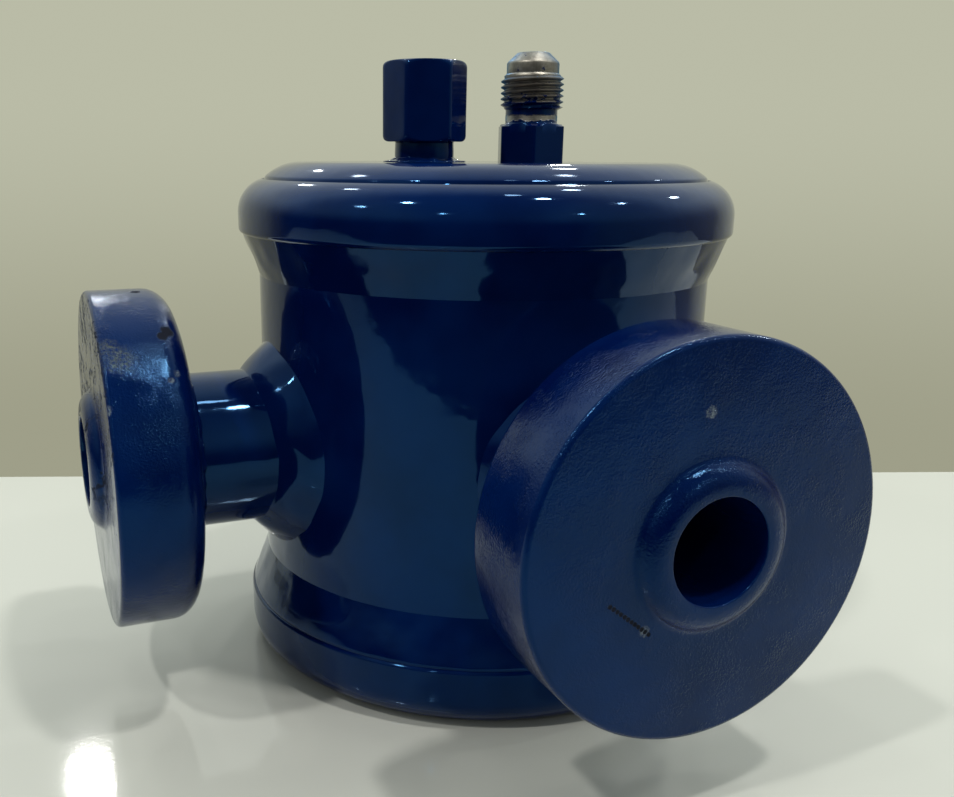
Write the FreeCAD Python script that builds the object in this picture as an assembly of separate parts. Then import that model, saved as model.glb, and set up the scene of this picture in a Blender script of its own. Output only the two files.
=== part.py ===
import FreeCAD, Part
import math
import os

# Oil level regulator for a refrigeration compressor, in millimetres.
# The body is a welded steel chamber. One flange bolts over the sight glass port of the
# crankcase, the other takes the sight glass. Oil comes in at the flare fitting on top,
# and a float inside shuts the needle valve when the level is right. The stem under the
# seal cap loads a spring on the float's lever, and so sets the level.
# Origin: centre of the base face, +Z up. The crankcase flange faces -Y, the other -X.

# Shell
tube_r = 57.15
tube_wall = 4.5
base_lip = 4.5
base_floor = 8.0
base_height = 15.0
base_edge_r = 7.2
base_weld_rise = 11.0
head_lip = 4.85
head_socket = 4.0
head_ledge = 3.4
head_ledge_in = 2.65
head_rim_rise = 4.9
head_rim_width = 6.5
head_crown_r = 8.5
head_weld_drop = 10.0
plate_thick = 9.7
plate_crown_r = 14.0
plate_crown_drop = 3.4
seam_lip = 0.75
seam_half_width = 0.5

# Ports
port_gap = 6.0
port_head_gap = 15.6
neck_r = 18.7
neck_bore_r = 10.6
bore_edge_r = 1.2
boss_inset = 1.9
boss_rise = 3.0
boss_edge_r = 2.0
neck_weld_leg = 6.5
flange_weld_leg = 3.5
flange_edge_r = 1.2
flange_back_edge_r = 4.3
crankcase_stand_off = 15.6
crankcase_flange_r = 39.6
crankcase_flange_thick = 19.7
sight_stand_off = 19.0
sight_flange_r = 39.5
sight_flange_thick = 18.5

# Flare inlet, for a tube nut on the 5/8 inch thread
inlet_hex_flats = 15.875
inlet_hex_height = 9.3
inlet_hex_turn = 6.8
inlet_hex_chamfer = 0.5
inlet_relief_length = 4.4
inlet_relief_run_out = 0.8
inlet_thread_r = 7.94
inlet_thread_depth = 1.34
inlet_thread_length = 6.6
inlet_thread_chamfer = 1.3
inlet_pilot_length = 2.6
inlet_nose_taper = 2.6
inlet_nose_length = 2.4
inlet_bore_r = 3.4
inlet_spigot_r = 7.94
inlet_spigot_drop = 4.6
strainer_r = 4.4
strainer_wall = 0.4
strainer_well_gap = 0.8
strainer_lip_inset = 1.14
strainer_lip = 0.8
strainer_end_gap = 1.5
strainer_length = 15.0

# Valve
valve_body_wall = 1.46
valve_guide_wall = 4.0
valve_guide_length = 6.0
valve_chamber_r = 4.2
valve_chamber_length = 7.2
valve_window_r = 2.2
valve_window_count = 4
valve_window_turn = 45.0
seat_ledge = 1.0
seat_thick = 2.6
seat_pocket = 4.8
orifice_r = 1.2
needle_r = 2.0
needle_tip_r = 0.3
needle_cone_length = 3.0
needle_shut_gap = 0.1

# Stem, its boss and the seal cap
boss_neck_r = 7.2
boss_neck_height = 5.4
boss_thread_depth = 0.85
boss_thread_length = 11.8
boss_thread_chamfer = 0.6
boss_drop = 9.4
boss_flare = 3.1
boss_flare_height = 1.1
stem_r = 4.0
stem_collar_lip = 1.6
stem_collar = 2.0
stem_top_drop = 2.5
stem_slot_width = 1.2
stem_slot_depth = 2.2
stem_thread_r = 3.0
stem_thread_spare = 4.0
stem_chamfer = 0.5
o_ring_section_r = 0.55
o_ring_spare = 0.6
o_ring_height = 2.6
gasket_thick = 0.8
gasket_inset = 0.15
gasket_bore_gap = 0.4
cap_wall = 1.6
cap_turn = 42.6
cap_roof = 5.5
cap_crown = 1.6
cap_overlap = 0.6
cap_mouth_spare = 1.0

# Level spring and float lever
float_side_gap = 5.65
lever_spare = 5.0
needle_arm = 9.6
tail_arm = 20.2
post_r = 2.0
post_spacing = 24.0
post_embed = 5.0
post_nut_flats = 7.0
post_nut_height = 3.2
post_end = 0.8
nut_r = 7.6
nut_thick = 4.4
nut_ear_r = 4.2
nut_hub_wall = 0.7
nut_hub = 2.0
nut_travel = 4.0
spring_wire_r = 0.5
spring_side_gap = 0.4
spring_turns = 7
spring_pieces = 16
spring_sides = 8
pivot_pin_r = 1.5
pivot_pin_head_lip = 1.1
pivot_pin_head = 1.2
pivot_pin_end = 1.6
arm_thick = 2.0
arm_width = 10.0
arm_tail_end = 5.0
arm_nose_end = 6.0
arm_corner_r = 3.0
arm_barrel_wall = 1.7
spring_pip_inset = 0.5
spring_pip = 1.4
bracket_thick = 3.0
bracket_gap = 2.6
bracket_margin = 4.5
ear_thick = 2.0
stop_width = 2.0
stop_side_gap = 0.8
float_drop = 3.5
float_r = 19.0
float_wall = 0.7
float_stud_gap = 1.0
float_stud_r = 2.0
float_stud_shoulder_r = 3.5
float_stud_end = 0.8
float_stud_sink = 1.0
float_nut_flats = 7.0
float_nut_height = 3.2
float_swing = 12.0

# Clearances
running_gap = 0.05
side_gap = 1.0
rest_gap = 0.3

# How closely an edge has to lie on both surfaces of the neck weld, and where it is tried
tolerance = 0.01
saddle_try = 0.3

# Radii that follow from the sizes
tube_inner_r = tube_r - tube_wall
base_r = tube_r + base_lip
head_ring_r = tube_r + head_lip
head_ledge_r = tube_inner_r - head_ledge_in
plate_r = head_ring_r - head_rim_width
boss_r = neck_r - boss_inset
inlet_neck_r = inlet_thread_r - inlet_thread_depth
strainer_well_r = strainer_r + strainer_well_gap
valve_body_r = inlet_spigot_r + valve_body_wall
valve_guide_r = needle_r + valve_guide_wall
seat_r = valve_chamber_r + seat_ledge
boss_thread_r = boss_neck_r - boss_thread_depth
cap_mouth_r = boss_neck_r + rest_gap
cap_flats = 2 * (cap_mouth_r + cap_wall)
nut_hub_r = stem_thread_r + nut_hub_wall
spring_mean_r = nut_hub_r + spring_side_gap + spring_wire_r
arm_barrel_r = pivot_pin_r + arm_barrel_wall
ear_half = arm_barrel_r + stop_side_gap + stop_width

# Places that follow from the sizes
port_axis_z = base_height + base_weld_rise + port_gap + neck_weld_leg + neck_r
ring_low_z = port_axis_z + neck_r + neck_weld_leg + port_head_gap + head_weld_drop
tube_top_z = ring_low_z + head_socket
crankcase_reach = head_ring_r + crankcase_stand_off + crankcase_flange_thick
sight_reach = head_ring_r + sight_stand_off + sight_flange_thick
ledge_z = tube_top_z + head_ledge
plate_top_z = ledge_z + plate_thick
ring_lip_run = head_crown_r - head_rim_width + seam_half_width
ring_lip_z = ring_low_z + head_rim_rise + math.sqrt(head_crown_r ** 2 - ring_lip_run ** 2)
seam_z = ring_lip_z - seam_lip
float_x = tube_inner_r - float_side_gap - float_r
pivot_x = float_x - float_r - lever_spare
inlet_x = pivot_x + needle_arm
stem_x = pivot_x - tail_arm
boss_low_z = ledge_z - boss_drop
boss_neck_z = plate_top_z + boss_neck_height
boss_top_z = boss_neck_z + boss_thread_length
spigot_low_z = ledge_z - inlet_spigot_drop
strainer_z = spigot_low_z - strainer_lip
seat_z = strainer_z - seat_pocket
chamber_z = seat_z - valve_chamber_length
guide_z = chamber_z - valve_guide_length
collar_top_z = boss_low_z - rest_gap
collar_low_z = collar_top_z - stem_collar
nut_top_z = collar_low_z - rest_gap
nut_low_z = nut_top_z - nut_thick
float_z = port_axis_z - float_drop
arm_low_z = float_z + float_r + float_stud_gap
arm_top_z = arm_low_z + arm_thick
pivot_z = arm_low_z + arm_thick / 2
tail_drop = (tail_arm + arm_tail_end) * math.sin(math.radians(float_swing))
bracket_top_z = arm_low_z - tail_drop - bracket_gap
bracket_low_z = bracket_top_z - bracket_thick
ear_inner_y = arm_width / 2 + side_gap
needle_lift = needle_arm * math.radians(float_swing)


def point(place):
    return FreeCAD.Vector(place[0], 0, place[1])


# A closed outline in radius and height. A step is the next corner, or a pair of a
# way point and a corner for an arc.
def outline(steps):
    edges = []
    here = steps[0]
    for step in steps[1:] + [steps[0]]:
        if isinstance(step[0], tuple):
            way, there = step
            edges.append(Part.Arc(point(here), point(way), point(there)).toShape())
        else:
            there = step
            edges.append(Part.LineSegment(point(here), point(there)).toShape())
        here = there
    return Part.Face(Part.Wire(edges))


def turned(steps, x=0.0):
    solid = outline(steps).revolve(FreeCAD.Vector(0, 0, 0), FreeCAD.Vector(0, 0, 1), 360)
    solid.translate(FreeCAD.Vector(x, 0, 0))
    return solid


def rod(r, low, high, x=0.0, y=0.0):
    return Part.makeCylinder(r, high - low, FreeCAD.Vector(x, y, low))


def cross_rod(r, low_y, high_y, x, z):
    return Part.makeCylinder(r, high_y - low_y, FreeCAD.Vector(x, low_y, z), FreeCAD.Vector(0, 1, 0))


def block(low, high):
    size = [b - a for a, b in zip(low, high)]
    return Part.makeBox(size[0], size[1], size[2], FreeCAD.Vector(*low))


# A hexagonal prism. turn is the direction of one corner, in degrees from +X.
def hexagon(flats, low, high, x=0.0, y=0.0, turn=0.0):
    corner_r = flats / math.sqrt(3)
    corners = []
    for side in range(7):
        angle = math.radians(turn + 60 * side)
        corners.append(FreeCAD.Vector(x + corner_r * math.cos(angle), y + corner_r * math.sin(angle), low))
    return Part.Face(Part.makePolygon(corners)).extrude(FreeCAD.Vector(0, 0, high - low))


# The point of a circle at an angle in degrees from the outward direction.
def on_arc(centre_r, centre_z, r, degrees):
    angle = math.radians(degrees)
    return (centre_r + r * math.cos(angle), centre_z + r * math.sin(angle))


# Turn a shape made along +Z so that it runs out of the body along a port.
def at_port(shape, side):
    if side == "crankcase":
        shape.rotate(FreeCAD.Vector(0, 0, 0), FreeCAD.Vector(1, 0, 0), 90)
    else:
        shape.rotate(FreeCAD.Vector(0, 0, 0), FreeCAD.Vector(0, 1, 0), -90)
    shape.translate(FreeCAD.Vector(0, 0, port_axis_z))
    return shape


def make_body_tube():
    tube = rod(tube_r, base_floor, tube_top_z).cut(rod(tube_inner_r, base_floor, tube_top_z))
    for side in ("crankcase", "sight"):
        tube = tube.cut(at_port(rod(neck_r, 0, tube_r), side))
    return tube


def make_bottom_cap():
    centre_r = base_r - base_edge_r
    return turned([
        (0, 0), (centre_r, 0),
        (on_arc(centre_r, base_edge_r, base_edge_r, -45), (base_r, base_edge_r)),
        (base_r, base_height), (tube_r, base_height), (tube_r, base_floor), (0, base_floor)])


def make_bottom_weld():
    return turned([(tube_r, base_height), (base_r, base_height), (tube_r, base_height + base_weld_rise)])


def make_head_ring():
    centre_r = head_ring_r - head_crown_r
    centre_z = ring_low_z + head_rim_rise
    lip_angle = math.degrees(math.acos((plate_r + seam_half_width - centre_r) / head_crown_r))
    lip = on_arc(centre_r, centre_z, head_crown_r, lip_angle)
    return turned([
        (tube_r, ring_low_z), (head_ring_r, ring_low_z), (head_ring_r, centre_z),
        (on_arc(centre_r, centre_z, head_crown_r, lip_angle / 2), lip),
        (plate_r, seam_z), (plate_r, ledge_z), (head_ledge_r, ledge_z),
        (head_ledge_r, tube_top_z), (tube_r, tube_top_z)])


def make_head_plate():
    lip_r = plate_r - seam_half_width
    centre_r = lip_r - math.sqrt(plate_crown_r ** 2 - (plate_crown_r - plate_crown_drop) ** 2)
    centre_z = plate_top_z - plate_crown_r
    lip_angle = math.degrees(math.acos((lip_r - centre_r) / plate_crown_r))
    plate = turned([
        (0, ledge_z), (plate_r, ledge_z), (plate_r, seam_z),
        on_arc(centre_r, centre_z, plate_crown_r, lip_angle),
        (on_arc(centre_r, centre_z, plate_crown_r, (lip_angle + 90) / 2), (centre_r, plate_top_z)),
        (0, plate_top_z)])
    plate = plate.cut(rod(boss_neck_r, ledge_z, plate_top_z, stem_x))
    plate = plate.cut(rod(inlet_spigot_r, ledge_z, plate_top_z, inlet_x))
    for y in (-post_spacing / 2, post_spacing / 2):
        plate = plate.cut(rod(post_r, ledge_z, ledge_z + post_embed, stem_x, y))
    return plate


def make_head_weld():
    return turned([(tube_r, ring_low_z - head_weld_drop), (head_ring_r, ring_low_z), (tube_r, ring_low_z)])


# The neck runs through the flange and stands proud of it as a turned boss.
def make_neck(side, reach):
    end = reach + boss_rise
    centre_r = boss_r - boss_edge_r
    centre_z = end - boss_edge_r
    neck = turned([
        (neck_bore_r, 0), (neck_r, 0), (neck_r, reach), (boss_r, reach), (boss_r, centre_z),
        (on_arc(centre_r, centre_z, boss_edge_r, 45), (centre_r, end)),
        (neck_bore_r + bore_edge_r, end),
        (on_arc(neck_bore_r + bore_edge_r, end - bore_edge_r, bore_edge_r, 135),
         (neck_bore_r, end - bore_edge_r))])
    return at_port(neck, side).cut(rod(tube_inner_r, 0, tube_top_z))


def make_flange(side, reach, r, thick):
    back = reach - thick
    back_rim = r - flange_back_edge_r
    back_turn = back + flange_back_edge_r
    rim = r - flange_edge_r
    flange = turned([
        (neck_r, back), (back_rim, back),
        (on_arc(back_rim, back_turn, flange_back_edge_r, -45), (r, back_turn)),
        (r, reach - flange_edge_r),
        (on_arc(rim, reach - flange_edge_r, flange_edge_r, 45), (rim, reach)),
        (neck_r, reach)])
    return at_port(flange, side)


def make_flange_weld(side, reach, thick):
    back = reach - thick
    weld = turned([(neck_r, back - flange_weld_leg), (neck_r + flange_weld_leg, back), (neck_r, back)])
    return at_port(weld, side)


# The weld between a neck and the tube follows their saddle curve. It is the chamfer of
# the two cylinders joined, less the cylinders.
def make_neck_weld(side):
    tube = rod(tube_r, base_height, ring_low_z)
    neck = at_port(rod(neck_r, 0, tube_r + 3 * neck_weld_leg), side)
    joined = tube.fuse(neck).removeSplitter()
    saddle = [edge for edge in joined.Edges if on_saddle(edge, side)]
    return joined.makeChamfer(neck_weld_leg, saddle).cut(tube).cut(neck)


def on_saddle(edge, side):
    spot = edge.valueAt(edge.FirstParameter + saddle_try * (edge.LastParameter - edge.FirstParameter))
    across = spot.x if side == "crankcase" else spot.y
    on_tube = abs(math.hypot(spot.x, spot.y) - tube_r) < tolerance
    on_neck = abs(math.hypot(across, spot.z - port_axis_z) - neck_r) < tolerance
    return on_tube and on_neck


def make_inlet_fitting():
    hex_top = plate_top_z + inlet_hex_height
    hexagonal = hexagon(inlet_hex_flats, plate_top_z, hex_top, inlet_x, 0, inlet_hex_turn)
    corner_r = inlet_hex_flats / math.sqrt(3)
    flat_r = inlet_hex_flats / 2
    crown = turned([
        (0, plate_top_z), (corner_r, plate_top_z), (corner_r, hex_top - inlet_hex_chamfer),
        (flat_r, hex_top), (0, hex_top)], inlet_x)
    thread_z = hex_top + inlet_relief_length
    thread_top = thread_z + inlet_thread_length
    nose_z = thread_top + inlet_thread_chamfer + inlet_pilot_length
    top = nose_z + inlet_nose_length
    stub = turned([
        (0, hex_top), (inlet_neck_r, hex_top), (inlet_neck_r, thread_z - inlet_relief_run_out),
        (inlet_thread_r, thread_z), (inlet_thread_r, thread_top),
        (inlet_neck_r, thread_top + inlet_thread_chamfer), (inlet_neck_r, nose_z),
        (inlet_neck_r - inlet_nose_taper, top), (0, top)], inlet_x)
    spigot = rod(inlet_spigot_r, spigot_low_z, plate_top_z, inlet_x)
    fitting = hexagonal.common(crown).fuse(stub).fuse(spigot)
    well_top = strainer_z + strainer_length + strainer_end_gap
    fitting = fitting.cut(rod(inlet_bore_r, spigot_low_z, top, inlet_x))
    fitting = fitting.cut(rod(strainer_well_r, spigot_low_z, well_top, inlet_x))
    return fitting.removeSplitter()


# A thimble with its closed end up and its lip held between fitting and valve body.
def make_inlet_strainer():
    bore = strainer_r - strainer_wall
    lip_r = inlet_spigot_r - strainer_lip_inset
    top = strainer_z + strainer_length
    return turned([
        (bore, strainer_z), (lip_r, strainer_z), (lip_r, spigot_low_z),
        (strainer_r, spigot_low_z), (strainer_r, top), (0, top),
        (0, top - strainer_wall), (bore, top - strainer_wall)], inlet_x)


def make_valve_body():
    body = turned([
        (needle_r + running_gap, guide_z), (valve_guide_r, guide_z), (valve_guide_r, chamber_z),
        (valve_body_r, chamber_z), (valve_body_r, ledge_z), (inlet_spigot_r, ledge_z),
        (inlet_spigot_r, strainer_z), (seat_r, strainer_z), (seat_r, seat_z),
        (valve_chamber_r, seat_z), (valve_chamber_r, chamber_z),
        (needle_r + running_gap, chamber_z)], inlet_x)
    window_z = (chamber_z + seat_z) / 2
    for window in range(valve_window_count):
        hole = Part.makeCylinder(valve_window_r, 2 * valve_body_r)
        hole.rotate(FreeCAD.Vector(0, 0, 0), FreeCAD.Vector(0, 1, 0), 90)
        turn = valve_window_turn + 360 * window / valve_window_count
        hole.rotate(FreeCAD.Vector(0, 0, 0), FreeCAD.Vector(0, 0, 1), turn)
        hole.translate(FreeCAD.Vector(inlet_x, 0, window_z))
        body = body.cut(hole)
    return body


def make_valve_seat():
    return rod(seat_r, seat_z, seat_z + seat_thick, inlet_x).cut(
        rod(orifice_r, seat_z, seat_z + seat_thick, inlet_x))


# At the end of the lift the cone stands in the orifice with a small gap all round.
def make_valve_needle():
    slope = (needle_r - needle_tip_r) / needle_cone_length
    tip_in_seat = (orifice_r - needle_shut_gap - needle_tip_r) / slope
    tip_z = seat_z + tip_in_seat - needle_lift
    foot_z = arm_top_z + rest_gap
    return turned([
        (0, foot_z), (on_arc(0, foot_z + needle_r, needle_r, -45), (needle_r, foot_z + needle_r)),
        (needle_r, tip_z - needle_cone_length), (needle_tip_r, tip_z), (0, tip_z)], inlet_x)


def make_stem_boss():
    bore = stem_r + running_gap
    return turned([
        (bore, boss_low_z), (boss_neck_r, boss_low_z), (boss_neck_r, boss_neck_z),
        (boss_thread_r, boss_neck_z), (boss_thread_r, boss_top_z - boss_thread_chamfer),
        (boss_thread_r - boss_thread_chamfer, boss_top_z), (bore, boss_top_z)], stem_x)


def make_stem_boss_weld():
    return turned([
        (boss_neck_r, plate_top_z), (boss_neck_r + boss_flare, plate_top_z),
        (boss_neck_r, plate_top_z + boss_flare_height)], stem_x)


def make_adjusting_stem():
    top = boss_top_z - stem_top_drop
    groove_z = plate_top_z + o_ring_height
    groove_top = groove_z + 2 * o_ring_section_r + o_ring_spare
    groove_r = stem_r - 2 * o_ring_section_r
    collar_r = stem_r + stem_collar_lip
    thread_end = nut_low_z - nut_hub - nut_travel - stem_thread_spare
    stem = turned([
        (0, thread_end), (stem_thread_r - stem_chamfer, thread_end),
        (stem_thread_r, thread_end + stem_chamfer), (stem_thread_r, collar_low_z),
        (collar_r, collar_low_z), (collar_r, collar_top_z), (stem_r, collar_top_z),
        (stem_r, groove_z), (groove_r, groove_z), (groove_r, groove_top), (stem_r, groove_top),
        (stem_r, top - stem_chamfer), (stem_r - stem_chamfer, top), (0, top)], stem_x)
    slot = block((stem_x - stem_r, -stem_slot_width / 2, top - stem_slot_depth),
                 (stem_x + stem_r, stem_slot_width / 2, top))
    return stem.cut(slot)


def make_stem_o_ring():
    middle_z = plate_top_z + o_ring_height + o_ring_section_r + o_ring_spare / 2
    middle = FreeCAD.Vector(stem_x, 0, middle_z)
    return Part.makeTorus(stem_r - o_ring_section_r, o_ring_section_r, middle)


def make_cap_gasket():
    top = boss_top_z + gasket_thick
    disc = rod(boss_thread_r - gasket_inset, boss_top_z, top, stem_x)
    return disc.cut(rod(stem_r + gasket_bore_gap, boss_top_z, top, stem_x))


def make_seal_cap():
    low = boss_neck_z - cap_overlap
    mouth_top = boss_neck_z + cap_mouth_spare
    roof = boss_top_z + gasket_thick
    top = roof + cap_roof
    corner_r = cap_flats / math.sqrt(3)
    prism = hexagon(cap_flats, low, top, stem_x, 0, cap_turn)
    rounding = turned([
        (0, low), (corner_r - cap_crown, low),
        (on_arc(corner_r - cap_crown, low + cap_crown, cap_crown, -45), (corner_r, low + cap_crown)),
        (corner_r, top - cap_crown),
        (on_arc(corner_r - cap_crown, top - cap_crown, cap_crown, 45), (corner_r - cap_crown, top)),
        (0, top)], stem_x)
    hollow = turned([
        (0, low), (cap_mouth_r, low), (cap_mouth_r, mouth_top),
        (boss_thread_r + running_gap, mouth_top), (boss_thread_r + running_gap, roof),
        (0, roof)], stem_x)
    return prism.common(rounding).cut(hollow)


def make_guide_posts():
    low = bracket_low_z - post_nut_height - post_end
    return Part.makeCompound([rod(post_r, low, ledge_z + post_embed, stem_x, y)
                              for y in (-post_spacing / 2, post_spacing / 2)])


def make_post_nuts():
    low = bracket_low_z - post_nut_height
    nuts = []
    for y in (-post_spacing / 2, post_spacing / 2):
        nut = hexagon(post_nut_flats, low, bracket_low_z, stem_x, y)
        nuts.append(nut.cut(rod(post_r, low, bracket_low_z, stem_x, y)))
    return Part.makeCompound(nuts)


# A channel hung from the posts. Its two ears hold the pivot pin, and the bar between
# them stops the lever when the float hangs down.
def make_pivot_bracket():
    outer_y = ear_inner_y + ear_thick
    ear_low_x = pivot_x - ear_half
    ear_high_x = pivot_x + ear_half
    wide_y = post_spacing / 2 + bracket_margin
    wide_x = stem_x + post_r + bracket_margin
    floor_part = block((stem_x - bracket_margin, -wide_y, bracket_low_z), (wide_x, wide_y, bracket_top_z))
    tongue = block((wide_x, -outer_y, bracket_low_z), (ear_high_x, outer_y, bracket_top_z))
    bracket = floor_part.fuse(tongue)
    for low_y in (-outer_y, ear_inner_y):
        ear = block((ear_low_x, low_y, bracket_top_z), (ear_high_x, low_y + ear_thick, pivot_z))
        top = cross_rod(ear_half, low_y, low_y + ear_thick, pivot_x, pivot_z)
        ear = ear.fuse(top).cut(cross_rod(pivot_pin_r, low_y, low_y + ear_thick, pivot_x, pivot_z))
        bracket = bracket.fuse(ear)
    bar = block((ear_high_x - stop_width, -ear_inner_y, bracket_top_z),
                (ear_high_x, ear_inner_y, arm_low_z - rest_gap))
    bracket = bracket.fuse(bar)
    for y in (-post_spacing / 2, post_spacing / 2):
        bracket = bracket.cut(rod(post_r, bracket_low_z, bracket_top_z, stem_x, y))
    return bracket.removeSplitter()


def make_pivot_pin():
    outer_y = ear_inner_y + ear_thick
    pin = cross_rod(pivot_pin_r, -outer_y - pivot_pin_head, outer_y + pivot_pin_end, pivot_x, pivot_z)
    head_r = pivot_pin_r + pivot_pin_head_lip
    head = cross_rod(head_r, -outer_y - pivot_pin_head, -outer_y, pivot_x, pivot_z)
    return pin.fuse(head).removeSplitter()


def make_spring_nut():
    half = post_spacing / 2
    nut = rod(nut_r, nut_low_z, nut_top_z, stem_x)
    nut = nut.fuse(block((stem_x - nut_ear_r, -half, nut_low_z), (stem_x + nut_ear_r, half, nut_top_z)))
    for y in (-half, half):
        nut = nut.fuse(rod(nut_ear_r, nut_low_z, nut_top_z, stem_x, y))
    nut = nut.fuse(rod(nut_hub_r, nut_low_z - nut_hub, nut_low_z, stem_x))
    nut = nut.cut(rod(stem_thread_r + running_gap, nut_low_z - nut_hub, nut_top_z, stem_x))
    for y in (-half, half):
        nut = nut.cut(rod(post_r + running_gap, nut_low_z, nut_top_z, stem_x, y))
    return nut.removeSplitter()


# The wire runs in short straight pieces, mitred where they meet.
def make_level_spring():
    low = arm_top_z + rest_gap + spring_wire_r
    high = nut_low_z - rest_gap - spring_wire_r
    count = spring_turns * spring_pieces
    bends = []
    for bend in range(count + 1):
        angle = 2 * math.pi * bend / spring_pieces
        bends.append(FreeCAD.Vector(stem_x + spring_mean_r * math.cos(angle),
                                    spring_mean_r * math.sin(angle),
                                    low + (high - low) * bend / count))
    along = (bends[1] - bends[0]).normalize()
    across = along.cross(FreeCAD.Vector(0, 0, 1)).normalize()
    upward = across.cross(along)
    ring = []
    for side in range(spring_sides + 1):
        angle = 2 * math.pi * side / spring_sides
        ring.append(bends[0] + across * (spring_wire_r * math.cos(angle))
                    + upward * (spring_wire_r * math.sin(angle)))
    section = Part.Wire(Part.makePolygon(ring))
    return Part.Wire(Part.makePolygon(bends)).makePipeShell([section], True, True, 1)


def make_float_arm():
    tail_x = stem_x - arm_tail_end
    nose_x = float_x + arm_nose_end
    arm = block((tail_x, -arm_width / 2, arm_low_z), (nose_x, arm_width / 2, arm_top_z))
    corners = [edge for edge in arm.Edges if abs(edge.BoundBox.ZLength - arm_thick) < tolerance]
    arm = arm.makeFillet(arm_corner_r, corners)
    arm = arm.fuse(cross_rod(arm_barrel_r, -arm_width / 2, arm_width / 2, pivot_x, pivot_z))
    arm = arm.fuse(rod(nut_hub_r - spring_pip_inset, arm_top_z, arm_top_z + spring_pip, stem_x))
    arm = arm.cut(cross_rod(pivot_pin_r + running_gap, -arm_width / 2, arm_width / 2, pivot_x, pivot_z))
    arm = arm.cut(rod(float_stud_r, arm_low_z, arm_top_z, float_x))
    return arm.removeSplitter()


def make_float_half(upper):
    ball = Part.makeSphere(float_r).cut(Part.makeSphere(float_r - float_wall))
    side = 2 * float_r
    low = 0 if upper else -side
    half = ball.common(block((-side, -side, low), (side, side, low + side)))
    half.translate(FreeCAD.Vector(float_x, 0, float_z))
    return half


def make_float_stud():
    ball = Part.makeSphere(float_r, FreeCAD.Vector(float_x, 0, float_z))
    shoulder = rod(float_stud_shoulder_r, float_z + float_r - float_stud_sink, arm_low_z, float_x).cut(ball)
    top = arm_top_z + float_nut_height + float_stud_end
    return shoulder.fuse(rod(float_stud_r, arm_low_z, top, float_x)).removeSplitter()


def make_float_nut():
    top = arm_top_z + float_nut_height
    return hexagon(float_nut_flats, arm_top_z, top, float_x).cut(rod(float_stud_r, arm_top_z, top, float_x))


parts = {
    "body_tube": make_body_tube(),
    "bottom_cap": make_bottom_cap(),
    "bottom_weld": make_bottom_weld(),
    "head_ring": make_head_ring(),
    "head_plate": make_head_plate(),
    "head_weld": make_head_weld(),
    "crankcase_neck": make_neck("crankcase", crankcase_reach),
    "crankcase_neck_weld": make_neck_weld("crankcase"),
    "crankcase_flange": make_flange("crankcase", crankcase_reach, crankcase_flange_r,
                                    crankcase_flange_thick),
    "crankcase_flange_weld": make_flange_weld("crankcase", crankcase_reach, crankcase_flange_thick),
    "sight_neck": make_neck("sight", sight_reach),
    "sight_neck_weld": make_neck_weld("sight"),
    "sight_flange": make_flange("sight", sight_reach, sight_flange_r, sight_flange_thick),
    "sight_flange_weld": make_flange_weld("sight", sight_reach, sight_flange_thick),
    "inlet_fitting": make_inlet_fitting(),
    "inlet_strainer": make_inlet_strainer(),
    "valve_body": make_valve_body(),
    "valve_seat": make_valve_seat(),
    "valve_needle": make_valve_needle(),
    "stem_boss": make_stem_boss(),
    "stem_boss_weld": make_stem_boss_weld(),
    "adjusting_stem": make_adjusting_stem(),
    "stem_o_ring": make_stem_o_ring(),
    "cap_gasket": make_cap_gasket(),
    "seal_cap": make_seal_cap(),
    "guide_posts": make_guide_posts(),
    "post_nuts": make_post_nuts(),
    "pivot_bracket": make_pivot_bracket(),
    "pivot_pin": make_pivot_pin(),
    "spring_nut": make_spring_nut(),
    "level_spring": make_level_spring(),
    "float_arm": make_float_arm(),
    "float_upper_half": make_float_half(True),
    "float_lower_half": make_float_half(False),
    "float_stud": make_float_stud(),
    "float_nut": make_float_nut(),
}

os.makedirs("parts", exist_ok=True)
for name, shape in parts.items():
    shape.exportStep("parts/" + name + ".step")
    print(name, len(shape.Solids), round(shape.Volume, 2), shape.isValid())
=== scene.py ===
import bmesh
import bpy
import math
from mathutils import Matrix, Vector, noise


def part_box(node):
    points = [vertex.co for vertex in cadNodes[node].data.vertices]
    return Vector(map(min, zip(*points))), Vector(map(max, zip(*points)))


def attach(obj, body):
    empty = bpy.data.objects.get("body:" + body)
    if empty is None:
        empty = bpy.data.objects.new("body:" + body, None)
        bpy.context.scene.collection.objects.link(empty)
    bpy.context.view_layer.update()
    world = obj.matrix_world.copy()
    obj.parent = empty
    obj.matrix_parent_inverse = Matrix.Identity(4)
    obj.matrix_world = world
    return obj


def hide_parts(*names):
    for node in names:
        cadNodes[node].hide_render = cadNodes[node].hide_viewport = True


# Oil level regulator: the looks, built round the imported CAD.
# Pieces are modelled in millimetres and brought to metres when they are finished.

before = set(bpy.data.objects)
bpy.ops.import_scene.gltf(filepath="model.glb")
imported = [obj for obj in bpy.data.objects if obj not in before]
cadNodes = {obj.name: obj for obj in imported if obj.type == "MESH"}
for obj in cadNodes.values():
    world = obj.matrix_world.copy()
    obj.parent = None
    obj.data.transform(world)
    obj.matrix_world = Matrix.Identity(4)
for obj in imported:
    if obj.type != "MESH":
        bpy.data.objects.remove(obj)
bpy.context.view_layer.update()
millimetre = 0.001

# Camera first, at the photograph's place

cameraView = {
    "place": (-0.11728, -0.23195, 0.12652),
    "towards": (0.36251, 0.89381, -0.264),
    "roll": 0.21,          # degrees
    "lens": 37.12,
    "sensor": 36,
    "shift": (0.0838, 0.028),
    "nearest": 0.01,
}


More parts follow.
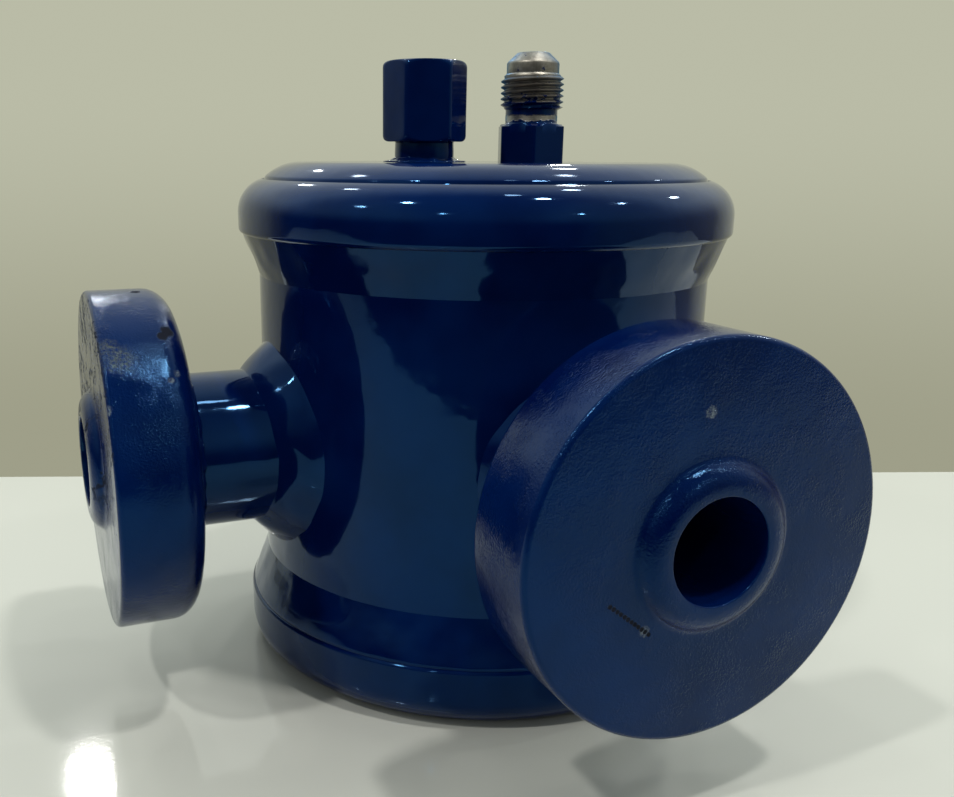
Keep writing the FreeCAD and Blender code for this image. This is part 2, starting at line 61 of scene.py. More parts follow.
def placeCamera(view):
    data = bpy.data.cameras.new("photoCamera")
    data.lens = view["lens"]
    data.sensor_width = view["sensor"]
    data.shift_x, data.shift_y = view["shift"]
    data.clip_start = view["nearest"]
    camera = bpy.data.objects.new("photoCamera", data)
    turn = Vector(view["towards"]).to_track_quat("-Z", "Y").to_matrix().to_4x4()
    roll = Matrix.Rotation(math.radians(view["roll"]), 4, "Z")
    camera.matrix_world = Matrix.Translation(view["place"]) @ turn @ roll
    bpy.context.scene.collection.objects.link(camera)
    bpy.context.scene.camera = camera


placeCamera(cameraView)
bpy.context.scene.view_settings.view_transform = "Standard"
print("camera placed")

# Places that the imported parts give, in millimetres


def cadLow(node, axis):
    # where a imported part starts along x, y or z
    return round(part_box(node)[0]["xyz".index(axis)] / millimetre, 3)


def cadHigh(node, axis):
    return round(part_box(node)[1]["xyz".index(axis)] / millimetre, 3)


def cadMiddle(node, axis):
    return round((cadLow(node, axis) + cadHigh(node, axis)) / 2, 3)


portHeight = cadMiddle("crankcase_flange", "z")
neckRadius = cadHigh("crankcase_neck", "x")
plateTop = cadHigh("head_plate", "z")
inletX = cadMiddle("inlet_fitting", "x")
stemX = cadMiddle("seal_cap", "x")
spigotRadius = 7.94

# Shader maths written as expressions


class Value:
    # one output socket, which adds its own Math nodes when it is reckoned with
    def __init__(self, sheet, socket):
        self.sheet = sheet
        self.socket = socket

    def __add__(self, other):
        return self.sheet.maths("ADD", self, other)

    def __sub__(self, other):
        return self.sheet.maths("SUBTRACT", self, other)

    def __rsub__(self, other):
        return self.sheet.maths("SUBTRACT", other, self)

    def __mul__(self, other):
        return self.sheet.maths("MULTIPLY", self, other)

    __radd__ = __add__
    __rmul__ = __mul__

    def larger(self, other):
        return self.sheet.maths("MAXIMUM", self, other)

    def smaller(self, other):
        return self.sheet.maths("MINIMUM", self, other)

    def ease(self, low, high):
        # 0 at low, 1 at high, smooth between them
        return self.sheet.add("ShaderNodeMapRange", {"interpolation_type": "SMOOTHSTEP"},
                              {"Value": self, "From Min": low, "From Max": high})


class NodeSheet:
    # the node tree of one material or of the world
    def __init__(self, owner):
        owner.use_nodes = True
        self.tree = owner.node_tree
        self.tree.nodes.clear()

    def add(self, kind, settings=None, sockets=None, result=0):
        node = self.tree.nodes.new(kind)
        for name, value in (settings or {}).items():
            setattr(node, name, value)
        for name, value in (sockets or {}).items():
            socket = node.inputs[name]
            if isinstance(value, Value):
                self.tree.links.new(value.socket, socket)
            elif socket.type == "RGBA":
                socket.default_value = (*value, 1)
            else:
                socket.default_value = value
        return Value(self, node.outputs[result]) if node.outputs else node

    def maths(self, operation, first, second):
        return self.add("ShaderNodeMath", {"operation": operation}, {0: first, 1: second})

    def place(self, centre=(0, 0, 0), scale=(1, 1, 1)):
        # Object coordinates counted from a centre, stretched by a scale
        spot = self.add("ShaderNodeTexCoord", result="Object")
        shifted = self.add("ShaderNodeVectorMath", {"operation": "SUBTRACT"}, {0: spot, 1: centre})
        return self.add("ShaderNodeVectorMath", {"operation": "MULTIPLY"}, {0: shifted, 1: scale})

    def cloud(self, spot, scale, detail=2.0, roughness=0.5):
        return self.add("ShaderNodeTexNoise", {"noise_dimensions": "3D"},
                        {"Vector": spot, "Scale": scale, "Detail": detail, "Roughness": roughness})

    def part(self, vector, letter):
        return self.add("ShaderNodeSeparateXYZ", None, {0: vector}, result=letter)

    def mixColours(self, share, first, second):
        return self.add("ShaderNodeMix", {"data_type": "RGBA"}, {0: share, 6: first, 7: second}, result=2)

    def bump(self, height, distance):
        return self.add("ShaderNodeBump", None, {"Height": height, "Distance": distance, "Strength": 1.0})

    def surface(self, sockets):
        shader = self.add("ShaderNodeBsdfPrincipled", None, sockets)
        self.add("ShaderNodeOutputMaterial", None, {"Surface": shader})


# Finishes. Clouds are given as scale per metre, detail and roughness.

enamelLook = {
    "deep": (0.0002, 0.0046, 0.054),
    "shallow": (0.0005, 0.0125, 0.092),
    "sheen": (0.14, 0.46, 0.95),     # colour of what the paint mirrors head on
    "drift": (45, 3),                # slow change of colour
    "peel": (210, 1),                # slow wave of thick paint
    "grain": (2100, 2, 0.6),         # fine pitting of the flanges
    "dull": (120, 4, 0.6),           # patches of duller paint
    "dulling": 0.10,
    "grainDulling": 700,             # how much rougher the paint is on high grain
}

# wear that the photograph shows, and nicks with a painted glint: centres and reaches in metres
wearAndGlintLook = {
    "bare": (0.115, 0.115, 0.075),
    "primer": (0.012, 0.008, 0.009),
    # colour of the nicks, lighter than the bare metal: partly a real nick, partly a painted glint
    "nickGlint": (0.24, 0.29, 0.34),
    "wobble": (1500, 4, 0.75),
    "speckle": (1300, 4, 0.75),
    "cracks": (95, 4, 0.7),
    "wornPatches": [((-0.0956, -0.0271, 0.0860), 0.0048), ((-0.0975, -0.0245, 0.0881), 0.0032)],
    # nick places: real dents in the paint, whose pale colour is a painted highlight
    "nicksWithPaintedGlint": [((-0.0028, -0.0973, 0.0832), 0.0014), ((-0.0136, -0.0973, 0.0427), 0.0013),
                    ((-0.0996, -0.0340, 0.0774), 0.0014), ((-0.0844, -0.0298, 0.0831), 0.0011),
                    ((-0.0860, -0.0310, 0.0818), 0.0009)],
    "darkChips": [((-0.0846, -0.0212, 0.0906), 0.0019), ((-0.0860, -0.0226, 0.0897), 0.0014),
                  ((-0.0886, -0.0030, 0.0966), 0.0013)],
    "scratchStart": Vector((-0.0215, -0.0973, 0.0490)),
    "scratchStep": Vector((0.0008, 0, -0.00064)),
    "scratchSteps": 12,
    "scratchReach": 0.00055,
    "chipDepth": 0.00004,
    "nickDepth": 0.00015,
}


def blotch(sheet, spot, wobble, centre, reach, softness):
    # 1 inside a ragged patch round a centre, and 0 outside
    away = sheet.add("ShaderNodeVectorMath", {"operation": "DISTANCE"}, {0: spot, 1: centre}, result="Value")
    return (away * (0.35 + wobble * 1.3)).ease(reach, reach * (1 - softness))


def patches(sheet, spot, wobble, places, softness):
    joined = None
    for centre, reach in places:
        patch = blotch(sheet, spot, wobble, centre, reach, softness)
        joined = patch if joined is None else joined.larger(patch)
    return joined


def addWearAndGlints(sheet, spot, dull, look):
    # three masks: bare speckled metal, dark chips with cracks, and nicks whose light colour is partly a
    # painted glint
    wobble = sheet.cloud(spot, *look["wobble"])
    speckle = sheet.cloud(spot, *look["speckle"]).ease(0.34, 0.72)
    bare = patches(sheet, spot, wobble, look["wornPatches"], 0.8) * speckle
    scratch = [(look["scratchStart"] + look["scratchStep"] * step, look["scratchReach"])
               for step in range(look["scratchSteps"])]
    chips = patches(sheet, spot, wobble, look["darkChips"] + scratch, 0.3)
    crack = sheet.cloud(spot, *look["cracks"]) - 0.5
    cracks = (crack * crack).ease(0.00050, 0.00006) * dull.ease(0.42, 0.52)
    onLeftFace = sheet.part(spot, "X").ease(-0.0990, -0.0994) * sheet.part(spot, "Z").ease(0.045, 0.060)
    chips = chips.larger(cracks * onLeftFace)
    # nicks: a real dent in the bump, and a pale colour that is painted highlight
    nickGlints = patches(sheet, spot, wobble, look["nicksWithPaintedGlint"], 0.5) * speckle
    return bare, chips, nickGlints


def makeEnamel(name, grainHeight, peelHeight, gloss, mirror, wornWithGlints=False):
    # heights in metres, and mirror is the index of refraction
    material = bpy.data.materials.new(name)
    sheet = NodeSheet(material)
    spot = sheet.place()
    drift = sheet.cloud(spot, *enamelLook["drift"])
    peel = sheet.cloud(spot, *enamelLook["peel"])
    grain = sheet.cloud(spot, *enamelLook["grain"])
    dull = sheet.cloud(spot, *enamelLook["dull"])
    colour = sheet.mixColours(drift.ease(0.3, 0.7), enamelLook["deep"], enamelLook["shallow"])
    roughness = gloss + dull.ease(0.45, 0.8) * enamelLook["dulling"]
    roughness = roughness + grain.ease(0.5, 0.8) * grainHeight * enamelLook["grainDulling"]
    height = peel * peelHeight + grain * grainHeight * (0.55 + dull.ease(0.4, 0.65))
    sockets = {"Specular Tint": enamelLook["sheen"], "IOR": mirror}
    if wornWithGlints:
        bare, chips, nickGlints = addWearAndGlints(sheet, spot, dull, wearAndGlintLook)
        colour = sheet.mixColours(bare, colour, wearAndGlintLook["bare"])
        # painted highlight: the nicks get a pale colour that stands for glints, over their real dent
        colour = sheet.mixColours(nickGlints, colour, wearAndGlintLook["nickGlint"])
        colour = sheet.mixColours(chips, colour, wearAndGlintLook["primer"])
        roughness = roughness + bare * 0.2 + chips * 0.8
        height = height - bare.larger(chips) * wearAndGlintLook["chipDepth"] - nickGlints * wearAndGlintLook["nickDepth"]
        sockets["Metallic"] = bare * 0.3
    sockets["Base Color"] = colour
    sockets["Roughness"] = roughness.smaller(1.0)
    sockets["Normal"] = sheet.bump(height, 1.0)
    sheet.surface(sockets)
    return material


def makeMetal(name, dark, light, roughness, spread, lines, centre=(0, 0, 0)):
    # turned metal: fine rings across the axis that lines stretches, and faint stains
    material = bpy.data.materials.new(name)
    sheet = NodeSheet(material)
    rings = sheet.cloud(sheet.place(centre, lines), 1.0, 3, 0.6)
    stain = sheet.cloud(sheet.place(centre), 160, 4, 0.6)
    colour = sheet.mixColours(rings * 0.5 + stain * 0.5, dark, light)
    sheet.surface({
        "Base Color": colour, "Metallic": 1.0,
        "Roughness": roughness + rings * spread + stain.ease(0.5, 0.8) * spread,
        "Normal": sheet.bump(rings, 0.00002)})
    return material


inletLook = {
    "centre": (inletX * millimetre, 0, 0),
    "paintTop": 0.1352,      # ragged upper edge of the paint, as a height in metres
    "splashTop": 0.1436,     # paint carried up into the lowest threads
    "threads": (0.1379, 0.1467),
    "bandLow": 0.1366,       # paint left in the relief under the threads
    "bandHigh": 0.1394,
    "bandEdge": 0.0002,
    "ragged": (420, 3, 0.6),
    "rings": (120, 120, 5200),
    "marks": (2600, 2600, 160),
    "stain": (380, 4, 0.65),
    "peel": (300, 1),
    "mirror": 1.58,
    "steelDark": (0.19, 0.17, 0.145),
    "steelLight": (0.62, 0.58, 0.50),
    "threadSteel": (0.23, 0.20, 0.165),
}


def makeHalfPaintedSteel(name, look):
    # enamel on the hexagon, splashes of it on the relief, bare turned steel above
    material = bpy.data.materials.new(name)
    sheet = NodeSheet(material)
    spot = sheet.place(look["centre"])
    high = sheet.part(spot, "Z")
    ragged = sheet.cloud(spot, *look["ragged"])
    top, edge = look["paintTop"], look["bandEdge"]
    low, upper = look["threads"]
    painted = (high + ragged * 0.0024).ease(top + 0.0014, top + 0.0010)
    splash = (high.ease(look["splashTop"], top + 0.002) * 0.26 + ragged).ease(0.62, 0.70)
    wavy = high + ragged * 0.0012 - 0.0006
    band = wavy.ease(look["bandLow"] - edge, look["bandLow"] + edge)
    band = band * wavy.ease(look["bandHigh"] + edge, look["bandHigh"] - edge)
    painted = painted.larger(band).larger(splash * high.ease(low - 0.0006, low))

    rings = sheet.cloud(sheet.place(look["centre"], look["rings"]), 1.0, 3, 0.6)
    marks = sheet.cloud(sheet.place(look["centre"], look["marks"]), 1.0, 3, 0.6)
    stain = sheet.cloud(spot, *look["stain"])
    steel = sheet.mixColours(stain.ease(0.3, 0.75) * 0.5 + rings * 0.2 + marks * 0.3,
                             look["steelDark"], look["steelLight"])
    onThread = high.ease(low, low + 0.0008) * high.ease(upper - 0.0002, upper - 0.0012)
    steel = sheet.mixColours(onThread * 0.75, steel, look["threadSteel"])

    drift = sheet.cloud(spot, *enamelLook["drift"])
    enamel = sheet.mixColours(drift, enamelLook["deep"], enamelLook["shallow"])
    peel = sheet.cloud(spot, *look["peel"])
    sheet.surface({
        "Base Color": sheet.mixColours(painted, steel, enamel),
        "Metallic": 1 - painted, "Specular Tint": enamelLook["sheen"], "IOR": look["mirror"],
        "Roughness": painted * -0.28 + 0.36 + stain * 0.12,
        "Normal": sheet.bump(painted * 0.00006 + peel * 0.00004 + rings * 0.00001, 1.0)})
    return material


def makeDull(name, dark, light, roughness, grain):
    material = bpy.data.materials.new(name)
    sheet = NodeSheet(material)
    spot = sheet.place()
    fine = sheet.cloud(spot, grain, 3)
    slow = sheet.cloud(spot, grain / 12, 2)
    sheet.surface({
        "Base Color": sheet.mixColours(fine * 0.4 + slow * 0.6, dark, light),
        "Roughness": roughness + fine * 0.15, "Normal": sheet.bump(fine, 0.00001)})
    return material


glossEnamel = makeEnamel("glossEnamel", 0.000002, 0.00005, 0.05, 1.58)
weldEnamel = makeEnamel("weldEnamel", 0.000004, 0.00009, 0.05, 1.58)
castEnamel = makeEnamel("castEnamel", 0.00009, 0.00006, 0.10, 1.5, wornWithGlints=True)
halfPaintedSteel = makeHalfPaintedSteel("halfPaintedSteel", inletLook)
innerSteel = makeMetal("innerSteel", (0.28, 0.27, 0.26), (0.5, 0.49, 0.47), 0.28, 0.2, (900, 900, 900))
stainless = makeMetal("stainless", (0.45, 0.44, 0.42), (0.66, 0.65, 0.62), 0.16, 0.16, (300, 300, 4000))
brass = makeMetal("turnedBrass", (0.42, 0.27, 0.08), (0.72, 0.52, 0.2), 0.2, 0.18, (200, 200, 5000),
                  (0.014, 0, 0))
rubber = makeDull("blackRubber", (0.012, 0.012, 0.012), (0.03, 0.03, 0.03), 0.5, 2500)
polymer = makeDull("whitePolymer", (0.66, 0.65, 0.6), (0.82, 0.81, 0.77), 0.35, 1500)
print("finishes made")

# Mesh helpers


class Outline:
    # a closed outline in radius and height, drawn corner by corner and then spun
    def __init__(self, radius, height):
        self.mesh = bmesh.new()
        self.first = self.mesh.verts.new((radius, 0, height))
        self.last = self.first
        self.cuts = []

    def to(self, radius, height, cut=0):
        # cut rounds the corner, and is how far along each side the rounding starts
        corner = self.mesh.verts.new((radius, 0, height))
        self.mesh.edges.new((self.last, corner))
        self.last = corner
        if cut:
            self.cuts.append((corner, cut))
        return self

    def swing(self, radius, height, degrees, steps):
        # an arc round a centre, upwards and inwards
        spun = bmesh.ops.spin(self.mesh, geom=[self.last], cent=(radius, 0, height), axis=(0, -1, 0),
                              dvec=(0, 0, 0), angle=math.radians(degrees), steps=steps,
                              use_merge=False, use_normal_flip=False, use_duplicate=False)
        self.last = next(item for item in spun["geom_last"] if isinstance(item, bmesh.types.BMVert))
        return self

    def spun(self, steps, segments=5):
        self.mesh.edges.new((self.last, self.first))
        for corner, cut in self.cuts:
            bmesh.ops.bevel(self.mesh, geom=[corner], offset=cut, offset_type="OFFSET", segments=segments,
                            profile=0.5, affect="VERTICES", material=-1, clamp_overlap=False)
        bmesh.ops.spin(self.mesh, geom=list(self.mesh.verts) + list(self.mesh.edges), cent=(0, 0, 0),
                       axis=(0, 0, 1), dvec=(0, 0, 0), angle=2 * math.pi, steps=steps,
                       use_merge=True, use_normal_flip=False, use_duplicate=False)
        bmesh.ops.remove_doubles(self.mesh, verts=list(self.mesh.verts), dist=1e-4)
        bmesh.ops.recalc_face_normals(self.mesh, faces=list(self.mesh.faces))
        return self.mesh


def lumpy(mesh, amount, size, seed, low=-1e9, high=1e9, fade=1.0):
    # slow noise along the normals, fading out towards two heights
    mesh.normal_update()
    moves = []
    for vert in mesh.verts:
        share = min(1, max(0, min(vert.co.z - low, high - vert.co.z) / fade))
        wave = noise.noise(vert.co / size + Vector((seed, seed, seed)))
        moves.append((vert, vert.normal * amount * wave * share))
    for vert, move in moves:
        vert.co += move


def toPort(mesh, side):
    # what was made along +Z runs out of the body along a port
    turn = Matrix.Rotation(math.radians(90), 4, "X") if side == "crankcase" \
        else Matrix.Rotation(math.radians(-90), 4, "Y")
    bmesh.ops.transform(mesh, matrix=Matrix.Translation((0, 0, portHeight)) @ turn, verts=list(mesh.verts))


def pullIn(vert, radius, wanted):
    # moves a point straight towards the axis, or away from it
    vert.co.x *= wanted / radius
    vert.co.y *= wanted / radius


def addMesh(mesh, extra):
    # joins a second mesh into the first
    data = bpy.data.meshes.new("draft")
    extra.to_mesh(data)
    extra.free()
    mesh.from_mesh(data)
    bpy.data.meshes.remove(data)


def finishPiece(name, mesh, material, replaced, sharp=38, body="regulator_body"):
    bmesh.ops.scale(mesh, vec=(millimetre,) * 3, verts=list(mesh.verts))
    data = bpy.data.meshes.new(name)
    mesh.to_mesh(data)
    mesh.free()
    data.shade_smooth()
    data.set_sharp_from_angle(angle=math.radians(sharp))
    data.materials.append(material)
    piece = bpy.data.objects.new(name, data)
    bpy.context.scene.collection.objects.link(piece)
    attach(piece, body)
    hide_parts(replaced)
    return piece


def addThread(mesh, thread, x):
    # one pitch of the tooth spun upwards as a screw, cut off level and closed by a sleeve inside
    pitch, crest, root = thread["pitch"], thread["crest"], thread["root"]
    low, high, neck = thread["low"], thread["high"], thread["neck"]
    turns = math.ceil((high - low) / pitch) + 2
    perTurn = 64
    ribbon = bmesh.new()
    tooth = [(root, -0.5), (root, -0.42), (crest, -0.07), (crest, 0.07), (root, 0.42), (root, 0.5)]
    corners = [ribbon.verts.new((radius, 0, low + pitch * (share - 0.5))) for radius, share in tooth]
    for start, end in zip(corners, corners[1:]):
        ribbon.edges.new((start, end))
    bmesh.ops.spin(ribbon, geom=list(ribbon.verts) + list(ribbon.edges), cent=(0, 0, 0), axis=(0, 0, 1),
                   dvec=(0, 0, pitch / perTurn), angle=2 * math.pi * turns, steps=perTurn * turns,
                   use_merge=False, use_normal_flip=False, use_duplicate=False)
    bmesh.ops.remove_doubles(ribbon, verts=list(ribbon.verts), dist=1e-4)
    for height, outward in ((low, -1), (high, 1)):
        everything = list(ribbon.verts) + list(ribbon.edges) + list(ribbon.faces)
        bmesh.ops.bisect_plane(ribbon, geom=everything, dist=1e-5, plane_co=(0, 0, height),
                               plane_no=(0, 0, outward), clear_outer=True)
    for vert in ribbon.verts:
        radius = math.hypot(vert.co.x, vert.co.y)
        limit = min(crest, neck + (vert.co.z - low) * thread["runIn"],
                    neck + (high - vert.co.z) * thread["runOut"])
        if radius > limit:
            pullIn(vert, radius, limit)
    rims = []
    for height in (low, high):
        edges = [edge for edge in ribbon.edges if edge.is_boundary
                 and all(abs(vert.co.z - height) < 1e-3 for vert in edge.verts)]
        grown = bmesh.ops.extrude_edge_only(ribbon, edges=edges)["geom"]
        for vert in grown:
            if isinstance(vert, bmesh.types.BMVert):
                pullIn(vert, math.hypot(vert.co.x, vert.co.y), thread["sleeve"])
        rims += [edge for edge in grown if isinstance(edge, bmesh.types.BMEdge)]
    bmesh.ops.bridge_loops(ribbon, edges=rims)
    bmesh.ops.recalc_face_normals(ribbon, faces=list(ribbon.faces))
    bmesh.ops.translate(ribbon, vec=(x, 0, 0), verts=list(ribbon.verts))
    addMesh(mesh, ribbon)


def clipToHexagon(mesh, flats, turn, sharpness, onlyAbove, belowZ=1e9):
    # pulls the outside in to a hexagon whose corners are a little round
    for vert in mesh.verts:
        radius = math.hypot(vert.co.x, vert.co.y)
        if radius < onlyAbove or vert.co.z > belowZ:
            continue
        angle = math.atan2(vert.co.y, vert.co.x) - math.radians(turn + 30)
        total = sum(abs(math.cos(angle - math.radians(60 * side))) ** sharpness for side in range(3))
        hexRadius = flats / 2 * total ** (-1 / sharpness)
        pullIn(vert, radius, (radius ** -sharpness + hexRadius ** -sharpness) ** (-1 / sharpness))


# Body

tubeSizes = {
    "outer": cadHigh("body_tube", "x"), "wall": 4.5,
    "low": cadLow("body_tube", "z"), "high": cadHigh("body_tube", "z"),
    "around": 256, "rows": 62,
    "hole": neckRadius + 0.7,     # the neck's hole in the tube, hidden under the weld
}
tubeOuter = tubeSizes["outer"]
tubeInner = tubeOuter - tubeSizes["wall"]
tubeTop = tubeSizes["high"]


def makeTube(sizes):
    low, rows = sizes["low"], sizes["rows"]
    outline = Outline(tubeInner, low)
    step = (tubeTop - low) / rows
    for row in range(1, rows + 1):
        outline.to(tubeInner, low + row * step)
    for row in range(rows, -1, -1):
        outline.to(tubeOuter, low + row * step)
    mesh = outline.spun(sizes["around"])
    for across, out in ((0, 1), (1, 0)):   # the two ports: the way across and the way out
        def fromAxis(place):
            return math.hypot(place[across], place.z - portHeight)
        inside = [face for face in mesh.faces if fromAxis(face.calc_center_median()) < sizes["hole"]
                  and face.calc_center_median()[out] < -sizes["hole"]]
        bmesh.ops.delete(mesh, geom=inside, context="FACES")
        rims = [edge for edge in mesh.edges if edge.is_boundary]
        for vert in {vert for edge in rims for vert in edge.verts}:
            radius = math.hypot(vert.co.x, vert.co.y)
            pull = sizes["hole"] / fromAxis(vert.co)
            vert.co[across] *= pull
            vert.co.z = portHeight + (vert.co.z - portHeight) * pull
            vert.co[out] = -math.sqrt(radius ** 2 - vert.co[across] ** 2)
        bmesh.ops.bridge_loops(mesh, edges=rims)
    bmesh.ops.recalc_face_normals(mesh, faces=list(mesh.faces))
    finishPiece("bodyTube", mesh, glossEnamel, "body_tube", 30)


baseSizes = {
    "radius": cadHigh("bottom_cap", "x"), "height": cadHigh("bottom_cap", "z"), "edge": 7.2, "lip": 0.9,
    "weldTop": cadHigh("bottom_weld", "z"),
    "weldInset": 0.6,     # how far the weld's toe lies inside the base's edge and above its top
    "tuck": 0.5,          # how far welds reach into the metal behind them
    "lump": 0.5, "lumpSize": 7.0, "seed": 3.0,
}


def makeBase(sizes):
    radius, height, floor = sizes["radius"], sizes["height"], tubeSizes["low"]
    mesh = (Outline(0, 0).to(radius, 0, sizes["edge"]).to(radius, height, sizes["lip"])
            .to(tubeOuter, height).to(tubeOuter, floor).to(0, floor)).spun(224, 12)
    finishPiece("bottomCap", mesh, glossEnamel, "bottom_cap")

    top, inset, tuck = sizes["weldTop"], sizes["weldInset"], sizes["tuck"]
    outline = Outline(tubeOuter - tuck, height - inset).to(radius - 0.75, height - inset)
    outline.to(radius - 0.55, height + 0.5, 0.5)
    for share in (0.2, 0.4, 0.6, 0.8):
        outline.to(radius - inset + (tubeOuter - radius + inset) * share,
                   height + inset + (top - height - inset) * share)
    mesh = outline.to(tubeOuter - 0.05, top + 0.3).to(tubeOuter - tuck, top + 0.3).spun(256)
    lumpy(mesh, sizes["lump"], sizes["lumpSize"], sizes["seed"], height, top + 0.2, 3.0)
    finishPiece("bottomWeld", mesh, weldEnamel, "bottom_weld", 50)


headSizes = {
    "ringRadius": cadHigh("head_ring", "x"), "ringLow": cadLow("head_ring", "z"), "rimRise": 4.9,
    "crown": 8.5, "ringEdge": 1.3,
    "plateRadius": cadHigh("head_plate", "x"), "ledge": cadLow("head_plate", "z"), "ledgeIn": 2.65,
    "seam": cadHigh("head_ring", "z") - 0.75,     # bottom of the groove between ring and plate
    "halfSeam": 0.5, "plateCrown": 14.0, "plateDrop": 3.4, "plateEdge": 0.25,
    "postAcross": 12.0, "postTop": cadHigh("guide_posts", "z"), "drillRoom": 5.0,
    "weldLow": cadLow("head_weld", "z"), "weldInset": 0.9, "tuck": 0.5,
    "lump": 0.5, "lumpSize": 6.5, "seed": 11.0,
}


def makeHead(sizes):
    makeHeadRing(sizes)
    makeHeadPlate(sizes)
    makeHeadWeld(sizes)


def makeHeadRing(sizes):
    ring, low, ledge = sizes["ringRadius"], sizes["ringLow"], sizes["ledge"]
    crownCentre = ring - sizes["crown"]
    shoulder = low + sizes["rimRise"]
    lipRun = sizes["plateRadius"] + sizes["halfSeam"] - crownCentre
    lipAngle = math.degrees(math.acos(lipRun / sizes["crown"]))
    outline = Outline(tubeOuter, low).to(ring, low, sizes["ringEdge"])
    outline.to(ring, shoulder).swing(crownCentre, shoulder, lipAngle, 14)
    outline.to(sizes["plateRadius"], sizes["seam"]).to(sizes["plateRadius"], ledge)
    outline.to(tubeInner - sizes["ledgeIn"], ledge).to(tubeInner - sizes["ledgeIn"], tubeTop)
    mesh = outline.to(tubeOuter, tubeTop).spun(256)
    finishPiece("headRing", mesh, glossEnamel, "head_ring")


def makeHeadPlate(sizes):
    ledge, crown = sizes["ledge"], sizes["plateCrown"]
    lip = sizes["plateRadius"] - sizes["halfSeam"]
    run = math.sqrt(crown ** 2 - (crown - sizes["plateDrop"]) ** 2)
    sweep = math.degrees(math.asin(run / crown))
    outline = Outline(0, ledge).to(sizes["plateRadius"], ledge).to(sizes["plateRadius"], sizes["seam"])
    outline.to(lip, plateTop - sizes["plateDrop"], sizes["plateEdge"])
    mesh = outline.swing(lip - run, plateTop - crown, sweep, 12).to(0, plateTop).spun(256)
    plate = finishPiece("headPlate", mesh, glossEnamel, "head_plate")
    below, above = ledge - sizes["drillRoom"], plateTop + sizes["drillRoom"]
    postRadius = cadHigh("guide_posts", "x") - stemX
    bossRadius = cadHigh("stem_boss", "x") - stemX
    drillPlate(plate, [(stemX, 0, bossRadius, below, above), (inletX, 0, spigotRadius, below, above),
                       (stemX, -sizes["postAcross"], postRadius, below, sizes["postTop"]),
                       (stemX, sizes["postAcross"], postRadius, below, sizes["postTop"])])


def makeHeadWeld(sizes):
    low, high, tuck = sizes["weldLow"], sizes["ringLow"], sizes["tuck"]
    toe = sizes["ringRadius"] - sizes["weldInset"]
    outline = Outline(tubeOuter - tuck, low - 0.3).to(tubeOuter - 0.03, low - 0.3)
    for share in (0.12, 0.25, 0.4, 0.55, 0.7, 0.85):
        outline.to(tubeOuter + 0.02 + (toe - tubeOuter) * share, low + (high + 0.2 - low) * share)
    mesh = outline.to(toe, high + 0.25).to(tubeOuter - tuck, high + 0.25).spun(288)
    lumpy(mesh, sizes["lump"], sizes["lumpSize"], sizes["seed"], low - 0.3, high + 0.3, 3.0)
    finishPiece("headWeld", mesh, weldEnamel, "head_weld", 50)


def drillPlate(plate, holes):
    # each hole: its place, its radius, and where the drill starts and ends
    cutters = []
    for x, y, radius, low, high in holes:
        drill = bmesh.new()
        ring = bmesh.ops.create_circle(drill, cap_ends=True, segments=64, radius=radius)["verts"]
        bmesh.ops.translate(drill, vec=(x, y, low), verts=ring)
        grown = bmesh.ops.extrude_face_region(drill, geom=list(drill.faces))["geom"]
        bmesh.ops.translate(drill, vec=(0, 0, high - low),
                            verts=[item for item in grown if isinstance(item, bmesh.types.BMVert)])
        bmesh.ops.recalc_face_normals(drill, faces=list(drill.faces))
        bmesh.ops.scale(drill, vec=(millimetre,) * 3, verts=list(drill.verts))
        data = bpy.data.meshes.new("drill")
        drill.to_mesh(data)
        drill.free()
        cutter = bpy.data.objects.new("drill", data)
        bpy.context.scene.collection.objects.link(cutter)
        cut = plate.modifiers.new("hole", "BOOLEAN")
        cut.operation = "DIFFERENCE"
        cut.solver = "EXACT"
        cut.object = cutter
        cutters.append(cutter)
    bpy.context.view_layer.update()
    drilled = bpy.data.meshes.new_from_object(plate.evaluated_get(bpy.context.evaluated_depsgraph_get()))
    plate.modifiers.clear()
    plate.data = drilled
    for cutter in cutters:
        bpy.data.objects.remove(cutter)


makeTube(tubeSizes)
makeBase(baseSizes)
makeHead(headSizes)
print("body made")

# Necks and flanges

portSizes = {
    "crankcase": {"out": "y", "backEdge": 1.8, "seed": 5.0},
    "sight": {"out": "x", "backEdge": 5.6, "seed": 9.0},
}
neckSizes = {
    "start": 48.0,        # inner end, before it is laid on the inside of the tube
    "bore": 10.6, "boreEdge": 0.3,
    "boss": 16.5, "bossEdge": 1.3, "bossSlope": 1.2, "bossShoulder": 0.9, "faceWidth": 2.2,
    "edge": 1.2, "flangeLeg": 3.5, "weldLeg": 6.5,
}


def onTube(radius, vert, out):
    # height along the port where a point meets the tube
    across = vert.co.y if out == "x" else vert.co.x
    return math.sqrt(radius ** 2 - across ** 2)


def makeNeck(side, out, reach, neck):
    end = -cadLow(side + "_neck", out)
    start, bore, boss, shoulder = neck["start"], neck["bore"], neck["boss"], neck["bossShoulder"]
    outline = Outline(bore, start).to(neckRadius, start)
    for share in (0.25, 0.5, 0.75):
        outline.to(neckRadius, start + (reach - start) * share)
    outline.to(neckRadius, reach).to(boss + 0.2, reach + 0.05, shoulder)
    outline.to(boss - neck["bossSlope"], end - shoulder, neck["bossEdge"])
    mesh = outline.to(bore + neck["faceWidth"], end, 1.1).to(bore, end - 0.1, neck["boreEdge"]).spun(160, 8)
    for face in mesh.faces:
        face.material_index = int(face.calc_center_median().z > reach)
    for vert in mesh.verts:
        if abs(vert.co.z - start) < 0.01:
            vert.co.z = onTube(tubeInner, vert, out)
    toPort(mesh, side)
    pipe = finishPiece(side + "Neck", mesh, glossEnamel, side + "_neck")
    pipe.data.materials.append(castEnamel)


def makeFlange(side, sizes, reach, back, neck):
    radius = cadHigh(side + "_flange", "z") - portHeight
    mesh = (Outline(neckRadius, back).to(radius, back, sizes["backEdge"])
            .to(radius, reach, neck["edge"]).to(neckRadius, reach)).spun(224, 7)
    toPort(mesh, side)
    finishPiece(side + "Flange", mesh, castEnamel, side + "_flange")


